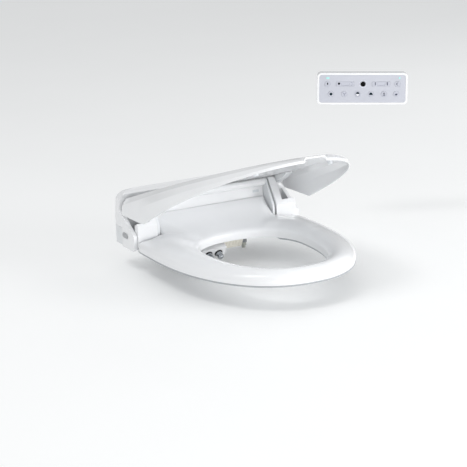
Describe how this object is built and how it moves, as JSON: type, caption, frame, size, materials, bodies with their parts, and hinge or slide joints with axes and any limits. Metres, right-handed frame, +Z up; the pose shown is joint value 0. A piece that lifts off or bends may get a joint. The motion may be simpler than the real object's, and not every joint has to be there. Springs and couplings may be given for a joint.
{
  "type": "electric bidet seat",
  "caption": "Heated bidet seat unit with hinged ring and lid on a rear housing, two spray nozzles, a warm-air dryer and a separate wall remote.",
  "frame": {"origin": "midway between the two fixing bolts, at the level of the pan's rim", "axes": "+Z up, the front of the seat towards -Y, +X to the right for someone who faces the seat's back from the front"},
  "size_m": [0.66, 0.5024, 0.3331],
  "materials": {
    "gloss_white_abs": "glossy injection-moulded ABS",
    "seat_pp": "glossy moulded polypropylene",
    "housing_pp": "satin moulded polypropylene",
    "arm_pom": "moulded acetal",
    "grey_button": "satin moulded ABS",
    "stainless": "turned stainless steel",
    "chrome": "polished chrome plate",
    "rubber": "moulded silicone rubber",
    "black_rubber": "moulded EPDM rubber",
    "black_abs": "black moulded ABS",
    "smoked_window": "smoked acrylic",
    "circuit_board": "solder-masked fibreglass",
    "foil": "aluminium heating foil",
    "zinc": "zinc-plated steel",
    "tank_pp": "moulded polypropylene tank",
    "ivory_abs": "moulded ABS",
    "copper_winding": "varnished winding",
    "face_film": "printed polycarbonate film",
    "key_grey": "silicone key",
    "key_black": "polished black ABS",
    "battery_sleeve": "printed sleeve"
  },
  "bodies": {
    "fixings": {"mounting_plate": "housing_pp", "bolt_sliders": "black_abs", "fixing_bolts": "zinc", "expansion_bushes": "black_rubber", "captive_nuts": "zinc", "remote_holder": "gloss_white_abs"},
    "unit": {"base_housing": "housing_pp", "top_cover": "gloss_white_abs", "front_panel": "gloss_white_abs", "side_cheeks": "gloss_white_abs", "hinge_brackets": "housing_pp", "hinge_shafts": "stainless", "soft_close_dampers": "black_abs", "water_tank": "tank_pp", "solenoid_valve": "black_abs", "water_pump": "black_abs", "water_inlet": "zinc", "nozzle_housing": "gloss_white_abs", "nozzle_drives": "black_abs", "dryer_fan": "black_abs", "dryer_duct": "gloss_white_abs", "control_board": "circuit_board", "power_supply": "copper_winding", "cord_gland": "grey_button", "status_window": "smoked_window", "cover_screws": "stainless"},
    "seat": {"seat_shell": "seat_pp", "seat_base": "seat_pp", "seat_heater": "foil", "seat_hinge_arms": "seat_pp", "seat_buffers": "rubber"},
    "lid": {"lid_shell": "gloss_white_abs", "lid_hinge_arms": "arm_pom", "lid_buffers": "rubber"},
    "rear_nozzle": {"rear_nozzle": "chrome"},
    "front_nozzle": {"front_nozzle": "chrome"},
    "dryer_flap": {"dryer_flap": "ivory_abs"},
    "release_button": {"release_button": "grey_button"},
    "filter_cartridge": {"filter_cartridge": "grey_button"},
    "drain_plug": {"drain_plug": "grey_button"},
    "handset": {"remote_back": "gloss_white_abs", "remote_front": "gloss_white_abs", "remote_face": "face_film", "remote_board": "circuit_board", "remote_batteries": "battery_sleeve"},
    "battery_door": {"battery_door": "gloss_white_abs"},
    "stop_key": {"stop_key": "key_black"},
    "power_key": {"power_key": "key_grey"},
    "night_key": {"night_key": "key_grey"},
    "rear_wash_key": {"rear_wash_key": "key_grey"},
    "front_wash_key": {"front_wash_key": "key_grey"},
    "move_key": {"move_key": "key_grey"},
    "dryer_key": {"dryer_key": "key_grey"},
    "water_temp_key": {"water_temp_key": "key_grey"},
    "seat_temp_key": {"seat_temp_key": "key_grey"},
    "pressure_rocker": {"pressure_rocker": "key_grey"},
    "position_rocker": {"position_rocker": "key_grey"}
  },
  "joints": [
    {"name": "unit_slide", "type": "slide", "parent": "fixings", "child": "unit", "axis": [0, -1, 0], "range_m": [0, 0.06]},
    {"name": "seat_hinge", "type": "hinge", "parent": "unit", "child": "seat", "pos_m": [0, -0.005, 0.092], "axis": [-1, 0, 0], "range_deg": [0, 78]},
    {"name": "lid_hinge", "type": "hinge", "parent": "seat", "child": "lid", "pos_m": [0, -0.005, 0.092], "axis": [1, 0, 0], "range_deg": [-78, 26]},
    {"name": "rear_nozzle_slide", "type": "slide", "parent": "unit", "child": "rear_nozzle", "axis": [0, -0.8746, -0.4848], "range_m": [0, 0.06]},
    {"name": "front_nozzle_slide", "type": "slide", "parent": "unit", "child": "front_nozzle", "axis": [0, -0.8746, -0.4848], "range_m": [0, 0.06]},
    {"name": "dryer_flap_hinge", "type": "hinge", "parent": "unit", "child": "dryer_flap", "pos_m": [0.012, -0.08719, 0.00613], "axis": [-1, 0, 0], "range_deg": [0, 60], "stiffness_Nm_per_rad": 0.002, "springref_deg": -17.19},
    {"name": "release_button_push", "type": "slide", "parent": "unit", "child": "release_button", "axis": [1, 0, 0], "range_m": [0, 0.004], "stiffness_N_per_m": 300, "springref_m": -0.002},
    {"name": "filter_pull", "type": "slide", "parent": "unit", "child": "filter_cartridge", "axis": [1, 0, 0], "range_m": [0, 0.03]},
    {"name": "drain_plug_turn", "type": "hinge", "parent": "unit", "child": "drain_plug", "pos_m": [-0.127, 0.025, 0.002], "axis": [0, 0, 1], "continuous": true},
    {"name": "handset_lift", "type": "slide", "parent": "fixings", "child": "handset", "axis": [0.0373, -0.019, 0.9991], "range_m": [0, 0.06]},
    {"name": "battery_door_slide", "type": "slide", "parent": "handset", "child": "battery_door", "axis": [-0.0373, 0.019, -0.9991], "range_m": [0, 0.035]},
    {"name": "stop_key_press", "type": "slide", "parent": "handset", "child": "stop_key", "axis": [0.454, 0.891, 0], "range_m": [0, 0.0008], "stiffness_N_per_m": 400, "springref_m": -0.0005},
    {"name": "power_key_press", "type": "slide", "parent": "handset", "child": "power_key", "axis": [0.454, 0.891, 0], "range_m": [0, 0.0008], "stiffness_N_per_m": 400, "springref_m": -0.0005},
    {"name": "night_key_press", "type": "slide", "parent": "handset", "child": "night_key", "axis": [0.454, 0.891, 0], "range_m": [0, 0.0008], "stiffness_N_per_m": 400, "springref_m": -0.0005},
    {"name": "rear_wash_key_press", "type": "slide", "parent": "handset", "child": "rear_wash_key", "axis": [0.454, 0.891, 0], "range_m": [0, 0.0008], "stiffness_N_per_m": 400, "springref_m": -0.0005},
    {"name": "front_wash_key_press", "type": "slide", "parent": "handset", "child": "front_wash_key", "axis": [0.454, 0.891, 0], "range_m": [0, 0.0008], "stiffness_N_per_m": 400, "springref_m": -0.0005},
    {"name": "move_key_press", "type": "slide", "parent": "handset", "child": "move_key", "axis": [0.454, 0.891, 0], "range_m": [0, 0.0008], "stiffness_N_per_m": 400, "springref_m": -0.0005},
    {"name": "dryer_key_press", "type": "slide", "parent": "handset", "child": "dryer_key", "axis": [0.454, 0.891, 0], "range_m": [0, 0.0008], "stiffness_N_per_m": 400, "springref_m": -0.0005},
    {"name": "water_temp_key_press", "type": "slide", "parent": "handset", "child": "water_temp_key", "axis": [0.454, 0.891, 0], "range_m": [0, 0.0008], "stiffness_N_per_m": 400, "springref_m": -0.0005},
    {"name": "seat_temp_key_press", "type": "slide", "parent": "handset", "child": "seat_temp_key", "axis": [0.454, 0.891, 0], "range_m": [0, 0.0008], "stiffness_N_per_m": 400, "springref_m": -0.0005},
    {"name": "pressure_rocker_tilt", "type": "hinge", "parent": "handset", "child": "pressure_rocker", "pos_m": [0.34598, 0.02466, 0.26572], "axis": [0.0373, -0.019, 0.9991], "range_deg": [-2.5, 2.5], "stiffness_Nm_per_rad": 0.05},
    {"name": "position_rocker_tilt", "type": "hinge", "parent": "handset", "child": "position_rocker", "pos_m": [0.41337, -0.00968, 0.26255], "axis": [0.0373, -0.019, 0.9991], "range_deg": [-2.5, 2.5], "stiffness_Nm_per_rad": 0.05}
  ]
}
